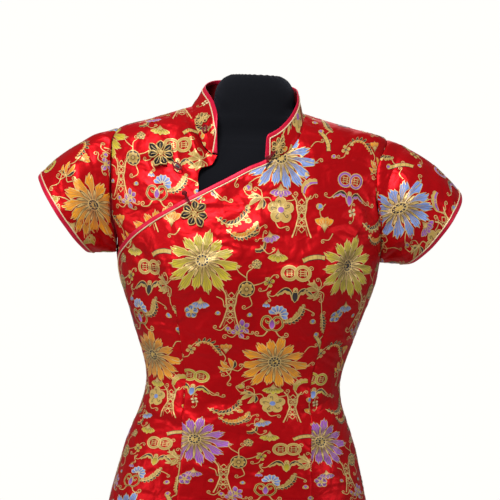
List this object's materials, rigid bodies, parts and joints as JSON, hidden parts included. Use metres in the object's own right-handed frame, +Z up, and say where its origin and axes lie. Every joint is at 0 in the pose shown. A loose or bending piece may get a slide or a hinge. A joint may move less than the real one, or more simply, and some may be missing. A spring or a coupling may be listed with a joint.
{
  "type": "cheongsam dress on its dress form",
  "caption": "Knee-length cheongsam with stand collar, cap sleeves and a slanting front closure, left open at the neck, worn hollow on a limbless dress form with a round stand.",
  "frame": {"origin": "on the floor, at the centre of the underside of the stand's base", "axes": "+Z up; the dress front faces -Y; +X is its right as it is looked at, which is the wearer's left"},
  "size_m": [0.5678, 0.33, 1.45],
  "materials": {
    "red_brocade": "figured satin brocade, red ground with gold-edged blossoms",
    "binding_satin": "plain crimson satin",
    "cream_piping": "pale gold satin piping",
    "frog_gold": "black satin petals edged with gold cord",
    "frog_cord": "dark red satin cord",
    "black_jersey": "matt black stretch jersey over a firm form",
    "stand_steel": "satin black paint"
  },
  "bodies": {
    "root": {"front_over_panel": "red_brocade", "back_panel": "red_brocade", "front_under_panel": "red_brocade", "sleeve_left": "red_brocade", "sleeve_right": "red_brocade", "stand_collar": "red_brocade", "sleeve_binding_left": "binding_satin", "sleeve_binding_right": "binding_satin", "collar_binding": "binding_satin", "closure_binding": "binding_satin", "sleeve_piping_left": "cream_piping", "sleeve_piping_right": "cream_piping", "collar_piping": "cream_piping", "closure_piping": "cream_piping", "frog_flower_collar_left": "frog_gold", "frog_flower_collar_right": "frog_gold", "frog_flower_chest": "frog_gold", "frog_flower_closure": "frog_gold", "frog_loop_collar_left": "frog_cord", "frog_loop_chest": "frog_cord", "frog_knot_collar_right": "frog_cord", "frog_knot_closure": "frog_cord", "form_torso": "black_jersey", "stand_base": "stand_steel", "stand_pole": "stand_steel"}
  },
  "joints": []
}
